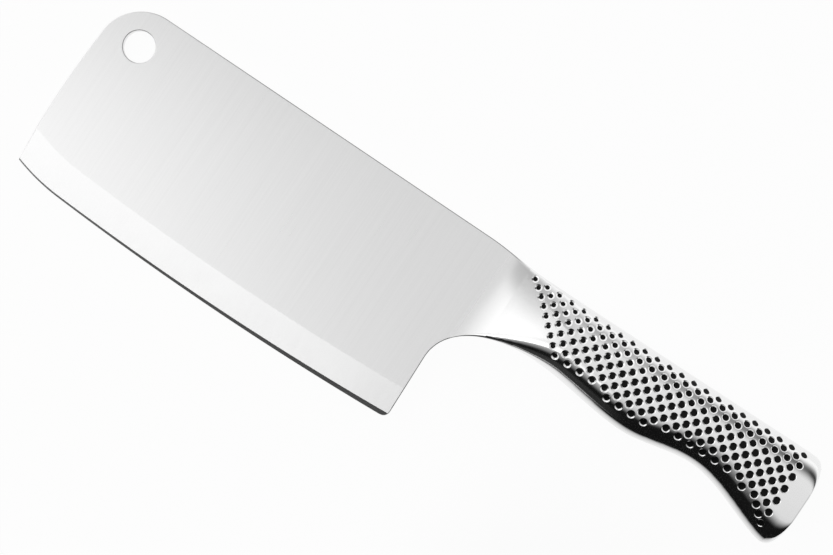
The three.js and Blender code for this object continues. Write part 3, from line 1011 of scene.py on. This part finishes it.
def enamelSkin(frames):
    middles, upward = frames[:2]
    wide = np.interp(middles[:, 0], pool.places, pool.radii)[:, None, None]
    edgeDepth = sunk(wide, lipRadii(frames))[0]
    rings = []
    for share in pool.rings:
        ring, face, away = dimpleRing(frames, wide * share, pool.sides)
        depth = edgeDepth + pool.dish * (1 - share**2)
        slope = 2 * pool.dish * share / wide
        rings.append((ring - face * depth, unit(face - away * slope)))
    lowest = middles - upward * (edgeDepth[:, 0] + pool.dish)
    under = middles - upward * (dimple.depth + pool.under)
    skin = Skin()
    for i in range(len(middles)):
        around = [np.concatenate([points[i], points[i][:1]]) for points, _ in rings]
        shade = [np.concatenate([normals[i], normals[i][:1]]) for _, normals in rings]
        around.append(np.broadcast_to(lowest[i], around[0].shape))
        shade.append(np.broadcast_to(upward[i], around[0].shape))
        skin.grid(np.stack(around), np.stack(shade))
        back = np.broadcast_to(under[i], around[0].shape)
        skin.grid(np.stack([around[0], back]), -upward[i])
    return skin


frames = dimpleFrames()
print("dimples on each half:", len(frames[0]))
leftShell = handleSkin(frames)
leftFill = enamelSkin(frames)
sides = (("left", leftShell, leftFill), ("right", leftShell.mirrored(), leftFill.mirrored()))
for side, shellSkin, fillSkin in sides:
    half = shellSkin.build("handleHalf." + side, gripSteel)
    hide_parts("handle_half_" + side)
    fillSkin.build("dimpleEnamel." + side, enamel)


# Weld runs, dressed flush with the shells
acrossWeld = np.linspace(weld.half, -weld.half, weld.across)


def seamLine(x, upper):
    s = section(x)
    corner = s.topCorner if upper else s.bottomCorner
    out = (np.abs(acrossWeld)[None] - (s.half - s.across)[:, None]) / s.across[:, None]
    drop = corner[:, None] * (1 - np.sqrt(1 - np.clip(out, 0, 1) ** 2))
    y = s.top[:, None] - drop if upper else s.bottom[:, None] + drop
    return np.stack([np.broadcast_to(x[:, None], y.shape), y, np.broadcast_to(acrossWeld, y.shape)], -1)


def weldBead(lines, normals, inward):
    skin = Skin()
    skin.grid(lines, normals)
    root = lines[:, lines.shape[1] // 2] * ontoMiddle + inward * weld.depth
    for edge, facing in ((0, 1.0), (-1, -1.0)):
        skin.grid(np.stack([lines[:, edge], root], 1), np.array((0, 0, facing)))
    for end, facing in ((0, -1.0), (-1, 1.0)):
        hub = np.broadcast_to(root[end], lines[end].shape)
        skin.grid(np.stack([lines[end], hub]), np.array((facing, 0, 0)))
    return skin


def seamBead(x, upper):
    lines = seamLine(x, upper)
    inward = np.array((0, -1.0 if upper else 1.0, 0))
    return weldBead(lines, gripNormals(lines), inward)


def buttBead():
    x = np.concatenate([np.linspace(weld.buttFrom, shell.faceEnd, weld.ontoButt)[:-1], buttX])
    over, under = seamLine(x, True), seamLine(x, False)[::-1]
    share = np.linspace(0, 1, weld.overButt)[1:-1, None, None]
    across = over[-1] * (1 - share) + under[0] * share
    lines = np.concatenate([over, across, under])
    normals = gripNormals(lines)
    normals[len(over) : len(over) + len(across)] = (1, 0, 0)
    inward = -normals[:, len(acrossWeld) // 2]
    return weldBead(lines, normals, inward)


def neckRing(x, inset):
    left = rib(x, inset)
    low, high = seamLine(x, False)[:, 1:-1], seamLine(x, True)[:, 1:-1]
    low, high = low + np.array((0, inset, 0)), high - np.array((0, inset, 0))
    right = left[:, ::-1] * (1, 1, -1)
    return np.concatenate([left, low, right, high[:, ::-1], left[:, :1]], 1)


def neckBead():
    x = np.linspace(grip.neckJoint - weld.half, grip.neckJoint + weld.half, weld.along)
    outer = neckRing(x, 0)
    root = neckRing(np.array((float(grip.neckJoint),)), weld.depth)[0]
    skin = Skin()
    skin.grid(outer, gripNormals(outer))
    skin.grid(np.stack([outer[0], root]), np.array((-1.0, 0, 0)))
    skin.grid(np.stack([outer[-1], root]), np.array((1.0, 0, 0)))
    return skin


seamX = np.append(bodyX[bodyX < weld.buttFrom - weld.stationGap], weld.buttFrom)
beads = {
    "neck_weld": neckBead(),
    "spine_seam_weld": seamBead(seamX, True),
    "belly_seam_weld": seamBead(seamX, False),
    "butt_seam_weld": buttBead(),
}
for node, skin in beads.items():
    bead = skin.build(node.replace("_", "."), weldSteel)
    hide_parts(node)

sand = frame["nodes"]["sand_ballast"]
sand.data.materials.clear()
sand.data.materials.append(drySand())
print("handle closed, sand dressed")


# Studio: a pale floor, a soft box over the blade, three dark cards, and a room that is dark on the edge
# side and has a dimmer strip on the spine side. The camera sees the floor and plain white.
peak = 2.0  # the brightest level that the room and the box reach
cardDark = 0.006


def stageMesh(name, corners, material):
    mesh = bpy.data.meshes.new(name)
    mesh.from_pydata(corners, [], [(0, 1, 2, 3)])
    mesh.materials.append(material)
    piece = bpy.data.objects.new(name, mesh)
    bpy.context.scene.collection.objects.link(piece)
    return piece


def flatCorners(corners, z):
    return [Vector((x, y, z)) * millimetre for x, y in corners]


floor = SimpleNamespace(**{
    "reach": 6000,
    "pale": 0.93,
    "paler": 0.95,
    "patches": (9, 9, 9),
    "white": 0.95,  # share of plain white in what is seen of the floor
    "mirrored": 0.94,  # the same in reflections, which keep more of the shadow
})


def buildFloor():
    material, shader, place = newMaterial("paleFloor")
    path = shader.node("ShaderNodeLightPath", {}, {}, "Is Camera Ray")
    rays = path.socket.node.outputs
    through = Wire(rays["Is Glossy Ray"]) + Wire(rays["Is Transmission Ray"])
    share = (path * floor.white + through * floor.mirrored).atMost(1.0)
    pale = shader.tint(shader.noise(place, floor.patches), floor.pale, floor.paler)
    matt = shader.node("ShaderNodeBsdfDiffuse", {}, {"Color": pale})
    white = shader.node("ShaderNodeEmission", {}, {"Color": (1, 1, 1, 1), "Strength": 1.0})
    mixed = shader.node("ShaderNodeMixShader", {}, {0: share, 1: matt, 2: white})
    shader.node("ShaderNodeOutputMaterial", {}, {"Surface": mixed})
    far = floor.reach
    stageMesh("floor", flatCorners(((-far, -far), (far, -far), (far, far), (-far, far)), 0), material)


# grey light of a given level, for a shader whose strength is the peak
def greyLight(shader, amount):
    return shader.tint(amount / peak, 0, 1)


darkLight = (cardDark / peak, cardDark / peak, cardDark / peak, 1)


# a card with soft sides that the camera does not see and that casts no shadow
def buildCard(name, corners, look, cardFrame):
    material, shader, place = newMaterial(name)
    x, y = (shader.axis(place, axis) / millimetre for axis in "XY")
    light, cover = look(shader, x, y)
    glow = shader.node("ShaderNodeEmission", {}, {"Color": light, "Strength": peak})
    clear = shader.node("ShaderNodeBsdfTransparent", {}, {})
    mixed = shader.node("ShaderNodeMixShader", {}, {0: cover, 1: clear, 2: glow})
    shader.node("ShaderNodeOutputMaterial", {}, {"Surface": mixed})
    card = stageMesh(name, corners, material)
    card.matrix_world = cardFrame
    card.visible_camera = False
    card.visible_shadow = False
    card.visible_transmission = False
    return card


# the soft box hangs over the blade, in the cleaver's own axes
box = SimpleNamespace(**{
    "height": 600,
    "corners": ((-420, -560), (280, -560), (280, 40), (-420, 40)),
    "front": (1.37, 1.48),  # level by the spine and beyond the edge
    "back": (0.82, 1.98),
    "beyond": (-300.0, -110.0),
    "frontToBack": (-190.0, 170.0),
    "dip": 0.07,  # share that it loses away from the spine
    "dipEase": (-110.0, -20.0),
    "far": (210, -285),  # a place on its far side, which runs out towards the front
    "farSplay": 0.31,
    "farSoft": 30.0,
    "buttSoft": (180.0, 270.0),
    "spineSplay": 0.066,
    "spineSoft": 14.0,
})


def boxLook(shader, x, y):
    beyondEdge = 1 - shader.ease(y, *box.beyond)
    front, back = (by + beyondEdge * (beyond - by) for by, beyond in (box.front, box.back))
    towardsFront = 1 - shader.ease(x, *box.frontToBack)
    dip = box.dip * (1 - shader.ease(y, *box.dipEase))
    light = (back + (front - back) * towardsFront) * (1 - dip)
    farSide = y - x * box.farSplay - (box.far[1] - box.far[0] * box.farSplay)
    cover = shader.ease(farSide, -box.farSoft, box.farSoft) * (1 - shader.ease(x, *box.buttSoft))
    cover = cover * (1 - shader.ease(y - x * box.spineSplay, 0.0, box.spineSoft))
    return greyLight(shader, light), cover


# a dark sheet lies on the table beyond the edge, in the table's axes
sheet = SimpleNamespace(**{
    "height": 0.4,
    "corners": ((-873, -6000), (2670, -6000), (200, 16), (30, 16)),
    "handleSoft": 92,
    "buttSplay": 0.41,  # how far that side runs out
    "buttSoft": (110.0, 200.0),
    "neckSplay": 0.15,
    "neckSoft": (40.0, 95.0),
})


def sheetLook(shader, x, y):
    near = float(sheet.corners[2][1])
    offHandle = 1 - shader.ease(y, near - sheet.handleSoft, near)
    offButt = 1 - shader.ease(x + y * sheet.buttSplay, *sheet.buttSoft)
    return darkLight, offHandle * offButt * shader.ease(x - y * sheet.neckSplay, *sheet.neckSoft)


# a small dark card hangs over the butt, in the cleaver's own axes
buttCard = SimpleNamespace(**{
    "height": 120,
    "corners": ((255, -260), (420, -260), (420, -15), (255, -15)),
    "buttSoft": (262.0, 290.0),
    "spineSoft": (-120.0, -10.0),
})


def buttLook(shader, x, y):
    return darkLight, shader.ease(x, *buttCard.buttSoft) * (1 - shader.ease(y, *buttCard.spineSoft))


# a dark card stands along the handle on the edge side: x and height in the cleaver's own axes
stand = SimpleNamespace(**{
    "away": -65,
    "corners": ((160, -10), (430, -10), (430, 62), (160, 62)),
    "neckSoft": (164.0, 176.0),
    "topSoft": (35.0, 58.0),
    "bottomSoft": (3.0, 11.0),
    "bottomDrop": 5,  # of its lower side by the butt
    "thin": 0.04,  # share let through near the neck
    "buttEase": (205.0, 240.0),
})


def standLook(shader, x, z):
    byButt = shader.ease(x, *stand.buttEase)
    low = shader.ease(z + byButt * stand.bottomDrop, *stand.bottomSoft)
    high = 1 - shader.ease(z, *stand.topSoft)
    return darkLight, shader.ease(x, *stand.neckSoft) * low * high * (1 - stand.thin + byButt * stand.thin)


# the room's light comes by direction: shares of the height, or degrees from overhead
room = SimpleNamespace(**{
    "horizon": 0.03,  # least height, which keeps the shares finite
    "front": 0.53,  # level overhead towards the blade's front and towards the butt
    "back": 0.85,
    "frontToBack": (-0.35, 0.05),
    "ahead": 1.05,  # level low beyond the blade's front
    "aheadSoft": (-0.9, -0.52),
    "low": 1.08,  # level near the table on the spine side
    "lowSoft": (55, 85),
    "lowShift": (-40, 10),  # how this moves where the neck mirrors it
    "neckSoft": (-0.22, -0.02),
    "strip": (18.0, 46.0, 78.0),  # where the dimmer strip starts, is dimmest and ends
    "stripAhead": 0.38,  # how dim it is along the handle and by the butt
    "stripAheadSoft": (-0.15, 0.0),
    "stripBehind": 0.95,
    "stripBehindSoft": (0.0, 0.42),
    "flagLean": 0.45,  # how the dark side turns towards the butt
    "flagLeanTo": 0.9,
    "flagSoft": (-1.1, 0.0),
    "gloom": 0.012,  # share of light left on the dark side, and more of it far off
    "gloomDistant": 0.85,
    "distantSoft": (-2.2, -1.4),
    "behindSoft": (58.0, 75.0),  # degrees round to the butt, where it is dark far off too
})


def buildRoom():
    world = bpy.data.worlds.new("studioRoom")
    bpy.context.scene.world = world
    shader = emptyShader(world)
    way = shader.node("ShaderNodeTexCoord", {}, {}, "Generated")
    x, y, z = (shader.axis(way, axis) for axis in "XYZ")
    height = z.atLeast(room.horizon)
    along, aside = x / height, y / height
    spineward = y.degreesOver(height)
    overhead = room.front + (room.back - room.front) * shader.ease(along, *room.frontToBack)
    ahead = 1 - shader.ease(along, *room.aheadSoft)
    overhead = overhead * (1 - ahead) + ahead * room.ahead
    neckward = 1 - shader.ease(along, *room.neckSoft)
    lowFrom, lowTo = (at + neckward * shift for at, shift in zip(room.lowSoft, room.lowShift))
    low = shader.ease(spineward, lowFrom, lowTo)
    base = overhead * (1 - low) + low * room.low
    stripFrom, stripAt, stripTo = room.strip
    strip = shader.ease(spineward, stripFrom, stripAt) * (1 - shader.ease(spineward, stripAt, stripTo))
    depth = room.stripAhead * shader.ease(along, *room.stripAheadSoft)
    depth = depth + shader.ease(along, *room.stripBehindSoft) * (room.stripBehind - room.stripAhead)
    flag = shader.ease(aside - along.atMost(room.flagLeanTo) * room.flagLean, *room.flagSoft)
    behind = shader.ease(x.degreesOver(0 - y), *room.behindSoft)
    distant = (1 - shader.ease(aside, *room.distantSoft)) * (1 - behind)
    gloom = room.gloom + distant * room.gloomDistant
    light = base * (1 - strip * depth) * (flag + (1 - flag) * gloom)
    seen = shader.node("ShaderNodeLightPath", {}, {}, "Is Camera Ray")
    shown = greyLight(shader, light * (1 - seen) + seen)
    background = shader.node("ShaderNodeBackground", {}, {"Color": shown, "Strength": peak})
    shader.node("ShaderNodeOutputWorld", {}, {"Surface": background})


buildFloor()
buildCard("softBox", flatCorners(box.corners, box.height), boxLook, tableFrame)
buildCard("darkSheet", flatCorners(sheet.corners, sheet.height), sheetLook, Matrix())
buildCard("buttFlag", flatCorners(buttCard.corners, buttCard.height), buttLook, tableFrame)
upright = Matrix.Rotation(math.pi / 2, 4, "X")
beside = Matrix.Translation(Vector((0, stand.away, 0)) * millimetre)
edgeFlag = buildCard("edgeFlag", flatCorners(stand.corners, 0), standLook, tableFrame @ beside @ upright)
edgeFlag.visible_diffuse = False
buildRoom()

# Camera: square to the blade, turned so that the cleaver runs down to the right
view = SimpleNamespace(**{
    "over": (141.3, -26.45),  # the point of the blade under the lens
    "distance": 640,  # from the left cheek
    "width": 293.72,  # millimetres of the cheek across the picture
    "turn": 33.95,
    "sensor": 36,
    "clip": (0.01, 50),  # metres
})


def buildCamera():
    lens = bpy.data.cameras.new("camera")
    lens.sensor_width = view.sensor
    lens.lens = view.sensor * view.distance / view.width
    lens.clip_start, lens.clip_end = view.clip
    camera = bpy.data.objects.new("camera", lens)
    spot = Vector((*view.over, grip.plateHalf + view.distance)) * millimetre
    turn = Matrix.Rotation(math.radians(view.turn), 4, "Z")
    camera.matrix_world = tableFrame @ Matrix.Translation(spot) @ turn
    bpy.context.scene.collection.objects.link(camera)
    bpy.context.scene.camera = camera


buildCamera()
bpy.context.scene.view_settings.view_transform = "Standard"
print("studio and camera set")
